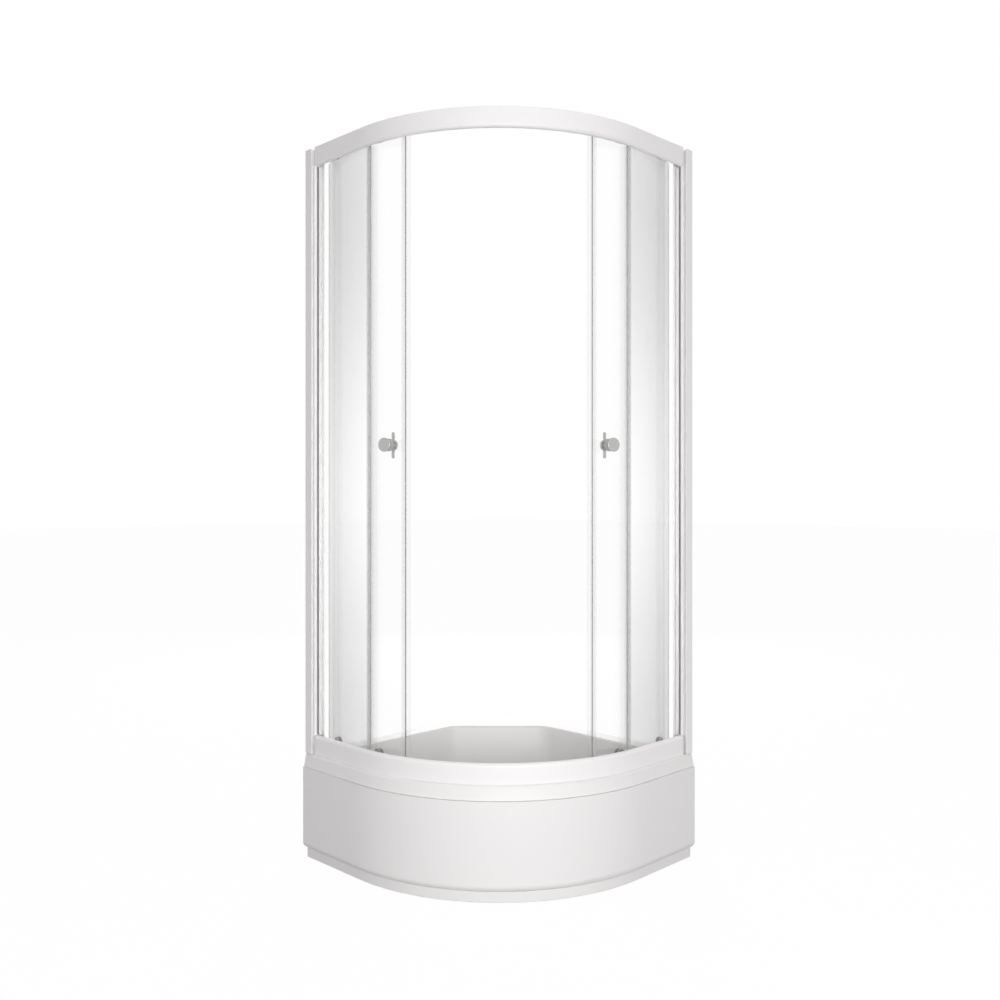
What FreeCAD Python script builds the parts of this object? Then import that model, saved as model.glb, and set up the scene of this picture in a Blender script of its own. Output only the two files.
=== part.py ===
import FreeCAD, Part
import math
import os
from types import SimpleNamespace

import Sketcher

# Quadrant shower enclosure on a deep tray, with both curved doors slid open.
# Millimetres. Z is up and the origin is on the floor under the middle of the square tray.
# The two walls are at -X and +Y of the tray, and the curved front faces +X and -Y.

SIZES = {
    # Whole enclosure
    "tray_side": 800,
    "corner_radius": 550,
    "tray_height": 305,
    "enclosure_height": 1748,
    "glass_thickness": 5,
    # Acrylic tray: rim, skirt and basin
    "acrylic_wall": 5,
    "skirt_drop": 38,
    "skirt_foot_inset": 3.5,
    "skirt_head_inset": 9,
    "shoulder_radius": 10,
    "basin_back": 55,
    "basin_front": 76,
    "basin_cut": 210,
    "basin_depth": 180,
    "basin_draft": 35,
    "basin_corner": 60,
    "basin_lip": 9,
    "basin_foot": 25,
    # Waste in the basin floor
    "drain_setback": 248,
    "drain_play": 2,
    "waste_flange_lap": 6,
    "waste_flange_thickness": 4,
    "waste_cup_radius": 44,
    "waste_cup_depth": 90,
    "waste_cup_wall": 3,
    "waste_outlet_radius": 25,
    "waste_collar_length": 6,
    "waste_collar_wall": 2,
    "waste_outlet_reach": 95,
    "waste_cover_lap": 6,
    "waste_cover_rise": 9,
    # Apron panel with its recessed plinth, and the clips behind it
    "apron_wall": 4,
    "apron_seam": 0.4,
    "plinth_height": 31,
    "plinth_inset": 15,
    "floor_gap": 3,
    "clip_width": 30,
    "clip_leg": 12,
    "clip_toe": 36,
    "clip_seam_gap": 5,
    "clip_setback": 16,
    "clip_curve_gap": 0.3,
    # Welded frame and levelling feet under the basin
    "tube_side": 25,
    "tube_wall": 2,
    "tube_start": 60,
    "tube_end_gap": 64,
    "back_tube_place": 180,
    "front_tube_setback": 260,
    "cross_tube_gap": 116,
    "foot_inset": 35,
    "foot_radius": 22,
    "foot_height": 14,
    "foot_socket": 8,
    "rod_radius": 5,
    "rod_play": 0.15,
    "rod_top_gap": 3,
    "nut_radius": 9.8,
    "nut_height": 8,
    # Rails, alike in their outer face and in the groove for the fixed glass
    "rail_inset": 18,
    "rail_height": 53.5,
    "rail_wall": 2,
    "rail_end_play": 0.4,
    "nose_flat": 0.2,
    "panel_setback": 11,
    "panel_play": 0.8,
    "panel_end_play": 0.3,
    "groove_depth": 25,
    "groove_lip": 4,
    "track_height": 5.7,
    "track_sway": 3.6,
    "track_room": 1.3,
    "track_lip_gap": 6,
    "hanger_track_thickness": 2.7,
    # Wall channels and side posts
    "channel_reach": 10,
    "channel_width": 48,
    "channel_depth": 30,
    "channel_wall": 2,
    "channel_top_drop": 6,
    "channel_hole_radius": 3,
    "channel_hole_inset": 150,
    "post_play": 0.4,
    "post_room": 4,
    "post_recess": 8,
    "post_wall": 2,
    "post_neck": 28,
    "post_neck_depth": 8,
    "post_groove_floor": 1,
    "gasket_wall": 2,
    "gasket_play": 0.2,
    "gasket_seat": 2,
    "gasket_flap": 1,
    "screw_radius": 1.75,
    "screw_play": 0.1,
    "screw_length": 8,
    "screw_head_radius": 3.6,
    "screw_head_height": 2.2,
    "screw_place": 16,
    # Fixed glass, which runs a little past the start of the curve, and the seal on its free edge
    "panel_overrun": 25,
    "seal_wall": 1.8,
    "seal_play": 0.2,
    "panel_seal_grip": 14,
    "panel_seal_fin": 22,
    "fin_thickness": 1.4,
    "seal_rail_gap": 0.5,
    # Curved doors, measured along the glass from the closing line
    "door_clearance": 14,
    "door_width": 345.5,
    "door_park_gap": 1.5,
    "knob_panel_gap": 5,
    "closing_gap": 0.25,
    "lead_blade": 12,
    "lead_grip": 14,
    "trail_grip": 9,
    "door_seal_gap": 4,
    "lead_runner": 104,
    "trail_runner_inset": 73.5,
    "pole_share": 0.05,
    # Rollers, hangers and carriers
    "wheel_radius": 11,
    "wheel_play": 0.3,
    "wheel_chamfer": 1,
    "wheel_groove": 1,
    "top_wheel_width": 12,
    "bottom_wheel_width": 8,
    "wheel_headroom": 4,
    "wheel_glass_gap": 1,
    "axle_radius": 3,
    "axle_play": 0.09,
    "clamp_wall": 2.5,
    "clamp_width": 22,
    "clamp_drop": 5,
    "clamp_roof": 3,
    "clamp_track_gap": 3,
    "clamp_play": 0.15,
    "neck_thickness": 3,
    "neck_width": 14,
    "neck_head": 7,
    "carrier_gap": 0.3,
    "carrier_thickness": 5,
    "carrier_width": 20,
    "carrier_foot": 8,
    "cap_radius": 12.5,
    "cap_thickness": 4.5,
    "cap_gap": 0.1,
    "cap_edge": 1.5,
    "bolt_radius": 4,
    "bolt_play": 0.5,
    "bolt_rise": 15,
    # Knob handles
    "knob_height": 1185,
    "knob_place": 51,
    "knob_reach": 45,
    "knob_cap_radius": 18.7,
    "knob_cap_thickness": 4,
    "knob_radius": 17,
    "knob_length": 20,
    "knob_neck_radius": 7,
    "knob_edge": 1.2,
    "rosette_radius": 14.7,
    "rosette_thickness": 4,
    "bar_length": 71,
    "bar_width": 8.6,
    "bar_thickness": 2.4,
    "handle_play": 0.1,
    "handle_screw_radius": 3,
    "handle_screw_depth": 12,
    "handle_screw_head_radius": 9,
    "handle_screw_head": 4,
    "handle_hole_play": 0.4,
    # Rubber stops that end the doors' opening travel
    "stop_length": 10,
    "stop_height": 12,
    "stop_gap": 0.9,
}

HALF_TURN = 180
QUARTER_TURN = 90
CLIPS_PER_SIDE = 2
SWING_TRIALS = 6
EIGHTH_TURN = 45
WALL_AXIS = FreeCAD.Vector(0, 0, 1)

doc = FreeCAD.newDocument("shower_enclosure")
sheet = doc.addObject("Spreadsheet::Sheet", "sizes")
for row, (alias, amount) in enumerate(SIZES.items(), start=1):
    sheet.set(f"A{row}", alias)
    sheet.set(f"B{row}", str(amount))
    sheet.setAlias(f"B{row}", alias)
doc.recompute()


class Size:
    """A number together with the sheet formula that it comes from."""

    def __init__(self, number, formula):
        self.number = number
        self.formula = formula

    def __add__(self, other):
        other = sized(other)
        return Size(self.number + other.number, f"({self.formula} + {other.formula})")

    def __sub__(self, other):
        other = sized(other)
        return Size(self.number - other.number, f"({self.formula} - {other.formula})")

    def __mul__(self, other):
        other = sized(other)
        return Size(self.number * other.number, f"({self.formula} * {other.formula})")

    def __truediv__(self, other):
        other = sized(other)
        return Size(self.number / other.number, f"({self.formula} / {other.formula})")

    def __neg__(self):
        return Size(-self.number, f"(-{self.formula})")

    def root(self):
        return Size(math.sqrt(self.number), f"sqrt({self.formula})")


def sized(amount):
    return amount if isinstance(amount, Size) else Size(amount, f"({amount})")


def bind(made, **sizes):
    for name, size in sizes.items():
        made.setExpression(name, sized(size).formula)


S = SimpleNamespace(**{alias: Size(sheet.get(alias), f"sizes.{alias}") for alias in SIZES})
NODES = {}


# Places. A point of the corner frame is its distance from the back wall, from the left wall and
# from the floor, so the whole plan is positive and its mirror line is the diagonal.

def moved(x, y, z, turn=0):
    return FreeCAD.Placement(FreeCAD.Vector(x, y, z), FreeCAD.Rotation(WALL_AXIS, turn))


half_side = S.tray_side.number / 2
CORNER = moved(-half_side, half_side, 0, -QUARTER_TURN)
LYING = FreeCAD.Placement(FreeCAD.Vector(), FreeCAD.Rotation(FreeCAD.Vector(0, 1, 0), QUARTER_TURN))
STANDING = LYING.inverse()

straight = S.tray_side - S.corner_radius
face = S.tray_side - S.rail_inset
rim = S.tray_height
basin_floor = rim - S.basin_depth
top = rim + S.enclosure_height
sill = rim + S.rail_height
head = top - S.rail_height
panel_outside = face - S.panel_setback
panel_inside = panel_outside - S.glass_thickness
panel_end = straight + S.panel_overrun
panel_nose = panel_end + S.seal_play + S.seal_wall
door_setback = S.panel_setback + S.glass_thickness + S.door_clearance
door_outside = face - straight - door_setback
door_inside = door_outside - S.glass_thickness
door_middle = door_inside + S.glass_thickness / 2

# Waste: it lies on the diagonal, a set way behind the front of the basin's floor.
floor_radius = S.corner_radius - S.basin_front - S.basin_draft
drain_place = straight + (floor_radius - S.drain_setback) / sized(2).root()
waste_cover_radius = S.waste_cup_radius + S.waste_cover_lap
waste_flange_radius = waste_cover_radius + S.waste_flange_lap

# Tracks: the rollers set how deep each track is, and the door's glass stops short of them.
wheel_space = S.wheel_radius * 2 + S.wheel_play
bottom_axle = rim + S.track_height + S.wheel_play + S.wheel_radius
door_bottom = rim + S.track_height + wheel_space + S.wheel_glass_gap
hanger_drop = S.rail_wall + S.wheel_headroom + wheel_space
hanger_track = top - hanger_drop
top_axle = hanger_track + S.wheel_play + S.wheel_radius
door_top = hanger_track - S.hanger_track_thickness - S.clamp_track_gap - S.clamp_roof
hanger_edge = door_setback + (S.glass_thickness + S.neck_thickness) / 2 + S.track_sway
hanger_reach = hanger_edge + S.wheel_play + S.top_wheel_width + S.track_room
carrier_depth = S.glass_thickness + S.carrier_gap + S.carrier_thickness
track_reach = door_setback + carrier_depth + S.track_sway + S.track_room


# Sketches, features and primitives

def keep(made, label, placement):
    """Finish a sub-part: its label names its file."""
    made.Label = label
    made.Placement = placement
    NODES[label] = made
    return made


def new_body(name):
    return doc.addObject("PartDesign::Body", name)


def attach(body, name, plane, offset):
    drawn = body.newObject("Sketcher::SketchObject", name)
    support = [origin for origin in body.Origin.OriginFeatures if origin.Role == plane]
    drawn.AttachmentSupport = [(support[0], "")]
    drawn.MapMode = "FlatFace"
    drawn.setExpression("AttachmentOffset.Base.z", sized(offset).formula)
    return drawn


def pin(drawn, side, end, x=None, y=None):
    """Hold one point of a sketch at its distances from the sketch's origin."""
    for kind, size in (("DistanceX", x), ("DistanceY", y)):
        if size is not None:
            rule = Sketcher.Constraint(kind, -1, 1, side, end, size.number)
            drawn.setExpression(f"Constraints[{drawn.addConstraint(rule)}]", size.formula)


def add_arc(drawn, start, stop, centre):
    """Arc from start to stop the short way round; returns its side and the ends in drawing order."""
    middle = FreeCAD.Vector(centre[0].number, centre[1].number, 0)
    arms = [FreeCAD.Vector(x.number, y.number, 0) - middle for x, y in (start, stop)]
    turns_left = arms[0].cross(arms[1]).z > 0
    angles = [math.atan2(arm.y, arm.x) for arm in (arms if turns_left else arms[::-1])]
    circle = Part.Circle(middle, WALL_AXIS, arms[0].Length)
    side = drawn.addGeometry(Part.ArcOfCircle(circle, *angles), False)
    pin(drawn, side, 3, *centre)
    return (side, 1, 2) if turns_left else (side, 2, 1)


def sketch(body, name, plane, points, centres=None, closed=True, offset=0):
    """Sketch through points, with an arc on each side that has a centre."""
    points = [(sized(x), sized(y)) for x, y in points]
    centres = {side: (sized(x), sized(y)) for side, (x, y) in (centres or {}).items()}
    drawn = attach(body, name, plane, offset)
    count = len(points) if closed else len(points) - 1
    sides = []
    for index in range(count):
        start, stop = points[index], points[(index + 1) % len(points)]
        if index in centres:
            sides.append(add_arc(drawn, start, stop, centres[index]))
        else:
            ends = [FreeCAD.Vector(x.number, y.number, 0) for x, y in (start, stop)]
            sides.append((drawn.addGeometry(Part.LineSegment(*ends), False), 1, 2))
    for index in range(count if closed else count - 1):
        side, _, last = sides[index]
        following, first, _ = sides[(index + 1) % count]
        drawn.addConstraint(Sketcher.Constraint("Coincident", side, last, following, first))
    for index, (x, y) in enumerate(points):
        side, first, last = sides[min(index, count - 1)]
        end = first if index < count else last
        before = index - 1 if index or not closed else count - 1
        if before in centres:
            centre_x, centre_y = centres[before]
            upright = abs(y.number - centre_y.number) > abs(x.number - centre_x.number)
            pin(drawn, side, end, x if upright else None, None if upright else y)
        else:
            pin(drawn, side, end, x, y)
    return drawn


def ring_sketch(body, name, plane, centres, radius, offset=0):
    """Sketch of equal circles."""
    drawn = attach(body, name, plane, offset)
    for x, y in centres:
        x, y = sized(x), sized(y)
        circle = Part.Circle(FreeCAD.Vector(x.number, y.number, 0), WALL_AXIS, radius.number)
        side = drawn.addGeometry(circle, False)
        pin(drawn, side, 3, x, y)
        rule = Sketcher.Constraint("Radius", side, radius.number)
        drawn.setExpression(f"Constraints[{drawn.addConstraint(rule)}]", radius.formula)
    return drawn


def pad(body, name, profile, length):
    made = body.newObject("PartDesign::Pad", name)
    made.Profile = profile
    bind(made, Length=length)
    return made


def pocket(body, name, profile, length):
    """Cut evenly to both sides of a sketch, and check that it met the solid."""
    doc.recompute()
    volume = body.Shape.Volume
    made = body.newObject("PartDesign::Pocket", name)
    made.Profile = profile
    made.Midplane = True
    bind(made, Length=length)
    doc.recompute()
    if body.Shape.Volume >= volume:
        raise RuntimeError(f"{name} cut nothing")
    return made


def front_sweep(body, name, profile, front, start):
    """Carry a profile round the front: along one side, round the curve and along the other."""
    points = [(front, start), (front, straight), (straight, front), (start, front)]
    path = sketch(body, f"{name}_path", "XY_Plane", points, {1: (straight, straight)}, closed=False)
    made = body.newObject("PartDesign::AdditivePipe", name)
    made.Profile = profile
    made.Spine = (path, ["Edge1", "Edge2", "Edge3"])
    return made


def turned(name, points, centres=None):
    """Lathe-turned body about its own X axis; points are distances along it and radii."""
    body = new_body(name)
    half = sketch(body, f"{name}_half", "XY_Plane", points, centres)
    made = body.newObject("PartDesign::Revolution", f"{name}_turn")
    made.Profile = half
    made.ReferenceAxis = (half, ["H_Axis"])
    made.Angle = 2 * HALF_TURN
    return body


def box(name, x, y, z):
    """Box between two distances along each axis of its frame."""
    made = doc.addObject("Part::Box", name)
    bind(made, Length=sized(x[1]) - x[0], Width=sized(y[1]) - y[0], Height=sized(z[1]) - z[0])
    made.Placement = moved(*(sized(span[0]).number for span in (x, y, z)))
    return made


def cylinder(name, radius, length, placement):
    made = doc.addObject("Part::Cylinder", name)
    bind(made, Radius=radius, Height=length)
    made.Placement = placement
    return made


def joined(kind, name, pieces):
    made = doc.addObject(kind, name)
    if kind == "Part::Compound":
        made.Links = pieces
    else:
        made.Shapes = pieces
    return made


def group(name, pieces):
    return joined("Part::Compound", name, pieces)


def fused(name, pieces):
    return joined("Part::MultiFuse", name, pieces)


def cut(name, base, tool):
    made = doc.addObject("Part::Cut", name)
    made.Base = base
    made.Tool = tool
    return made


def mirrored(name, source):
    """Twin across the diagonal of the plan."""
    made = doc.addObject("Part::Mirroring", name)
    made.Source = source
    made.Normal = FreeCAD.Vector(1, 1, 0)
    return made


def keep_pair(made, label, placement):
    """A left-hand sub-part and its right-hand twin."""
    keep(made, f"{label}_left", placement)
    keep(mirrored(f"{label}_twin", made), f"{label}_right", FreeCAD.Placement())


# Tray: one acrylic shell with a rounded rim, a tapered skirt and a basin with a cut back corner

def basin_ring(body, name, grow, height):
    back = S.basin_back - grow
    front = S.tray_side - S.basin_front + grow
    cut_end = back + S.basin_cut
    points = [
        (cut_end, back),
        (front, back),
        (front, straight),
        (straight, front),
        (back, front),
        (back, cut_end),
    ]
    return sketch(body, name, "XY_Plane", points, {2: (straight, straight)}, offset=height)


def loft(body, kind, name, upper, lower):
    made = body.newObject(kind, name)
    made.Profile = upper
    made.Sections = [lower]
    made.Ruled = True
    return made


def round_edges(body, name, radius, wanted):
    """Fillet the edges of a body that a test picks."""
    doc.recompute()
    base = body.Tip
    names = [f"Edge{index}" for index, edge in enumerate(base.Shape.Edges, start=1) if wanted(edge)]
    made = body.newObject("PartDesign::Fillet", name)
    made.Base = (base, names)
    bind(made, Radius=radius)
    return made


def build_tray():
    body = new_body("tray_body")
    wall = S.acrylic_wall
    low = rim - S.skirt_drop
    foot = S.tray_side - S.skirt_foot_inset
    crest = S.tray_side - S.skirt_head_inset
    shoulder = (crest - S.shoulder_radius, rim - S.shoulder_radius)
    outline = [
        (foot, low),
        (crest, shoulder[1]),
        (shoulder[0], rim),
        (shoulder[0] - wall, rim),
        (shoulder[0] - wall, rim - wall),
        (shoulder[0], rim - wall),
        (crest - wall, shoulder[1]),
        (foot - wall, low),
    ]
    skirt = sketch(body, "skirt_profile", "XZ_Plane", outline, {1: shoulder, 5: shoulder})
    front_sweep(body, "skirt", skirt, foot, 0)

    plate = [(0, 0), (shoulder[0], 0), (shoulder[0], straight), (straight, shoulder[0]), (0, shoulder[0])]
    centres = {2: (straight, straight)}
    pad(body, "rim_plate", sketch(body, "rim_outline", "XY_Plane", plate, centres, offset=rim - wall), wall)

    upper = basin_ring(body, "bowl_upper", wall, rim - wall / 2)
    lower = basin_ring(body, "bowl_lower", wall - S.basin_draft, basin_floor - wall)
    loft(body, "PartDesign::AdditiveLoft", "bowl", upper, lower)
    upper = basin_ring(body, "hollow_upper", 0, rim)
    lower = basin_ring(body, "hollow_lower", -S.basin_draft, basin_floor)
    loft(body, "PartDesign::SubtractiveLoft", "hollow", upper, lower)

    def basin_corner(edge):
        heights = sorted(point.Z for point in edge.Vertexes)
        spans = len(heights) == 2 and heights[1] - heights[0] > S.basin_depth.number - 1
        tangent = any(abs(c - straight.number) < 1 for c in (edge.CenterOfMass.x, edge.CenterOfMass.y))
        return spans and abs(heights[0] - basin_floor.number) < 1 and not tangent

    def level_edge(edge, height):
        bounds = edge.BoundBox
        inside = min(bounds.XMin, bounds.YMin) > S.basin_back.number / 2
        flat = bounds.ZLength < 1 and abs(bounds.ZMin - height) < 1
        return flat and inside and max(bounds.XMax, bounds.YMax) < shoulder[0].number - wall.number

    round_edges(body, "basin_corners", S.basin_corner, basin_corner)
    round_edges(body, "basin_lip_round", S.basin_lip, lambda edge: level_edge(edge, rim.number))
    round_edges(body, "basin_foot_round", S.basin_foot, lambda edge: level_edge(edge, basin_floor.number))
    centre = (drain_place, drain_place)
    bore = S.waste_cup_radius + S.drain_play
    drain = ring_sketch(body, "drain", "XY_Plane", [centre], bore, basin_floor)
    pocket(body, "drain_hole", drain, wall * 3)
    keep(body, "tray", CORNER)


# Apron: one bent panel whose foot curls in to a recessed plinth

def build_apron():
    body = new_body("apron_body")
    wall = S.apron_wall
    curl = S.plinth_inset + wall
    bend = (S.tray_side - curl, S.plinth_height + curl)
    plinth_top = bend[1] - (curl * curl - wall * wall).root()
    high = rim - S.skirt_drop - S.apron_seam
    outline = [
        (S.tray_side, high),
        (S.tray_side, bend[1]),
        (bend[0] + wall, plinth_top),
        (bend[0] + wall, S.floor_gap),
        (bend[0], S.floor_gap),
        (bend[0], S.plinth_height + wall),
        (S.tray_side - wall, bend[1]),
        (S.tray_side - wall, high),
    ]
    profile = sketch(body, "apron_profile", "XZ_Plane", outline, {1: bend, 5: bend})
    front_sweep(body, "apron_sweep", profile, S.tray_side, 0)
    keep(body, "apron_panel", CORNER)


# Clips that hang from the rim and hold the apron from behind, on its straights and its curve

def apron_clip(name, front):
    reach = front - S.apron_wall
    leg = (reach - S.clip_leg - S.clip_setback, reach - S.clip_setback)
    bottom = rim - S.skirt_drop - S.apron_seam - S.clip_seam_gap - S.clip_toe
    side = (-S.clip_width / 2, S.clip_width / 2)
    upright = box(f"{name}_leg", leg, side, (bottom, rim - S.acrylic_wall))
    toe = box(f"{name}_toe", (leg[0], reach), side, (bottom, bottom + S.clip_toe))
    return fused(name, [upright, toe])


def build_apron_clips():
    clips = []
    for index in range(CLIPS_PER_SIDE):
        place = straight * (index + 0.5) / CLIPS_PER_SIDE
        clip = apron_clip(f"straight_clip_{index}", S.tray_side)
        clip.Placement = CORNER * moved(0, place.number, 0)
        clips += [clip, mirrored(f"straight_clip_twin_{index}", clip)]
    clip = apron_clip("curve_clip", S.corner_radius - S.clip_curve_gap)
    clip.Placement = CORNER * moved(straight.number, straight.number, 0, EIGHTH_TURN / 2)
    clips += [clip, mirrored("curve_clip_twin", clip)]
    keep(group("clip_group", clips), "apron_clips", FreeCAD.Placement())


# Welded tube frame under the basin, on five levelling feet

def tube(name, x, y):
    high = basin_floor - S.acrylic_wall
    low = high - S.tube_side
    wall = S.tube_wall
    along_y = (sized(y[1]) - y[0]).number > (sized(x[1]) - x[0]).number
    outer = box(f"{name}_outer", x, y, (low, high))
    inner_x = x if not along_y else (x[0] + wall, x[1] - wall)
    inner_y = y if along_y else (y[0] + wall, y[1] - wall)
    return cut(name, outer, box(f"{name}_inner", inner_x, inner_y, (low + wall, high - wall)))


def tube_end(place):
    """Where a tube stops short of the apron, as far from the left wall as the plan's curve leaves."""
    inner = S.corner_radius - S.apron_wall
    past = place + S.tube_side / 2 - straight
    if past.number > 0:
        inner = (inner * inner - past * past).root()
    return straight + inner - S.tube_end_gap


def build_frame_and_feet():
    half = S.tube_side / 2
    high = basin_floor - S.acrylic_wall
    low = high - S.tube_side
    back, front = S.back_tube_place, S.tray_side - S.front_tube_setback
    cross = drain_place - waste_flange_radius - S.cross_tube_gap - half
    tubes = [tube("cross_tube", (back + half, front - half), (cross - half, cross + half))]
    foot_places = [((back + front) / 2, cross)]
    for name, place in (("back_tube", back), ("front_tube", front)):
        end = tube_end(place)
        tubes.append(tube(name, (place - half, place + half), (S.tube_start, end)))
        foot_places += [(place, S.tube_start + S.foot_inset), (place, end - S.foot_inset)]

    holes, rods, nuts, pads = [], [], [], []
    shank = high - S.rod_top_gap - (S.foot_height - S.foot_socket)
    for index, (x, y) in enumerate(foot_places):
        place = (x.number, y.number)
        bore = S.rod_radius + S.rod_play
        holes.append(cylinder(f"rod_hole_{index}", bore, S.tube_side, moved(*place, low.number)))
        base = S.foot_height - S.foot_socket
        rods.append(cylinder(f"rod_{index}", S.rod_radius, shank, moved(*place, base.number)))
        nut = doc.addObject("Part::Prism", f"nut_blank_{index}")
        nut.Polygon = 6
        bind(nut, Circumradius=S.nut_radius, Height=S.nut_height)
        nut.Placement = moved(*place, (low - S.nut_height).number)
        clear = moved(*place, (low - S.nut_height).number)
        nuts.append(cut(f"nut_{index}", nut, cylinder(f"nut_bore_{index}", bore, S.nut_height, clear)))
        taper = S.foot_radius - (S.foot_height - S.foot_socket)
        steps = [
            (0, 0),
            (0, S.foot_radius),
            (S.foot_height - S.foot_socket, S.foot_radius),
            (S.foot_height, taper),
            (S.foot_height, bore),
            (S.foot_height - S.foot_socket, bore),
            (S.foot_height - S.foot_socket, 0),
        ]
        pads.append(turned(f"foot_{index}", steps))
        pads[-1].Placement = moved(*place, 0) * STANDING
    frame = cut("drilled_frame", fused("tube_frame", tubes), group("rod_holes", holes))
    keep(frame, "support_frame", CORNER)
    keep(group("rods", rods), "foot_rods", CORNER)
    keep(group("nuts", nuts), "foot_nuts", CORNER)
    keep(group("pads", pads), "foot_pads", CORNER)


# Waste: a flange on the basin floor, a cup with its outlet below, and a domed cover

def build_waste():
    place = drain_place.number
    under = basin_floor - S.acrylic_wall
    bore = S.waste_cup_radius - S.waste_cup_wall
    cover_radius, flange_radius = waste_cover_radius, waste_flange_radius
    flange = turned("waste_flange_body", [
        (0, S.waste_cup_radius),
        (0, flange_radius),
        (S.waste_flange_thickness / 2, flange_radius),
        (S.waste_flange_thickness, cover_radius + S.waste_flange_lap / 2),
        (S.waste_flange_thickness, S.waste_cup_radius),
    ])
    keep(flange, "waste_flange", CORNER * moved(place, place, basin_floor.number) * STANDING)

    cup_floor = S.waste_cup_wall
    cup_top = S.waste_cup_depth + S.acrylic_wall
    cup = turned("waste_cup", [
        (0, 0),
        (0, S.waste_cup_radius),
        (S.waste_cup_depth - S.waste_cup_wall, S.waste_cup_radius),
        (S.waste_cup_depth - S.waste_cup_wall, flange_radius),
        (S.waste_cup_depth, flange_radius),
        (S.waste_cup_depth, S.waste_cup_radius),
        (cup_top, S.waste_cup_radius),
        (cup_top, bore),
        (cup_floor, bore),
        (cup_floor, 0),
    ])
    cup.Placement = STANDING
    outlet = moved(0, 0, (S.waste_outlet_radius + S.waste_cup_wall).number) * STANDING
    pipe = cylinder("waste_pipe", S.waste_outlet_radius, S.waste_outlet_reach, outlet)
    collar_radius = S.waste_outlet_radius + S.waste_collar_wall
    collar = cylinder("waste_collar", collar_radius, S.waste_cup_radius + S.waste_collar_length, outlet)
    hollow = S.waste_outlet_radius - S.waste_cup_wall
    pipe_bore = cylinder("waste_pipe_bore", hollow, S.waste_outlet_reach, outlet)
    room = cylinder("waste_room", bore, cup_top - cup_floor, moved(0, 0, cup_floor.number))
    solid = fused("waste_solid", [cup, pipe, collar])
    trap = cut("waste_trap_shell", cut("waste_open_pipe", solid, pipe_bore), room)
    keep(trap, "waste_trap", CORNER * moved(place, place, (under - S.waste_cup_depth).number))

    crown = S.waste_cover_rise
    wall = S.waste_cup_wall
    cover = turned("waste_cover_body", [
        (0, S.waste_cup_radius),
        (0, cover_radius),
        (wall, cover_radius),
        (crown, cover_radius - crown),
        (crown, 0),
        (crown - wall, 0),
        (crown - wall, cover_radius - crown),
    ])
    rest = basin_floor + S.waste_flange_thickness
    keep(cover, "waste_cover", CORNER * moved(place, place, rest.number) * STANDING)


# Rails: extrusions bent to the plan, with a rounded outer nose and a groove for the fixed glass

nose_radius = S.panel_setback - S.panel_play - S.nose_flat
rail_start = S.channel_depth + S.rail_end_play


def rail_nose(at):
    """Corners shared by both rails, from the outer face round the nose to the groove's inner lip."""
    groove = (S.panel_setback - S.panel_play, S.panel_setback + S.glass_thickness + S.panel_play)
    floor = S.rail_height - S.groove_depth
    lip = groove[1] + S.rail_wall
    return [
        at(0, 0),
        at(0, S.rail_height - nose_radius),
        at(nose_radius, S.rail_height),
        at(groove[0], S.rail_height),
        at(groove[0], floor),
        at(groove[1], floor),
        at(groove[1], floor + S.groove_lip),
        at(lip, floor + S.groove_lip),
    ]


def build_bottom_rail():
    def at(inward, height):
        return face - inward, rim + height

    body = new_body("bottom_rail_body")
    wall = S.rail_wall
    outline = rail_nose(at)
    lip = face - outline[-1][0]
    chamber = S.rail_height - S.groove_depth - wall
    crest = door_bottom - rim - S.track_lip_gap
    outline += [
        at(lip, S.track_height),
        at(track_reach, S.track_height),
        at(track_reach, crest),
        at(track_reach + wall, crest),
        at(track_reach + wall, 0),
        at(track_reach, 0),
        at(track_reach, S.track_height - wall),
        at(lip - wall, S.track_height - wall),
        at(lip - wall, chamber),
        at(wall, chamber),
        at(wall, 0),
    ]
    centre = at(nose_radius, S.rail_height - nose_radius)
    profile = sketch(body, "bottom_rail_profile", "XZ_Plane", outline, {1: centre}, offset=-rail_start)
    front_sweep(body, "bottom_rail_sweep", profile, face, rail_start)
    keep(body, "bottom_rail", CORNER)


def build_top_rail():
    def at(inward, drop):
        return face - inward, top - drop

    body = new_body("top_rail_body")
    wall = S.rail_wall
    outline = rail_nose(at)
    lip = face - outline[-1][0]
    track_under = hanger_drop + S.hanger_track_thickness
    outline += [
        at(lip, wall),
        at(hanger_reach, wall),
        at(hanger_reach, hanger_drop),
        at(hanger_edge, hanger_drop),
        at(hanger_edge, track_under),
        at(hanger_reach + wall, track_under),
        at(hanger_reach + wall, 0),
    ]
    centre = at(nose_radius, S.rail_height - nose_radius)
    profile = sketch(body, "top_rail_profile", "XZ_Plane", outline, {1: centre}, offset=-rail_start)
    front_sweep(body, "top_rail_sweep", profile, face, rail_start)
    keep(body, "top_rail", CORNER)


# Wall channels, and the side posts that slide in them to take up an uneven wall

channel_outside = face + S.channel_reach
channel_inside = channel_outside - S.channel_width
channel_height = S.enclosure_height - S.channel_top_drop
post_start = S.channel_wall + S.post_room
post_step = S.channel_depth - S.post_recess
post_end = post_step + S.post_neck_depth
fixing_heights = [
    rim + S.channel_hole_inset,
    rim + S.enclosure_height / 2,
    top - S.channel_hole_inset,
]


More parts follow.
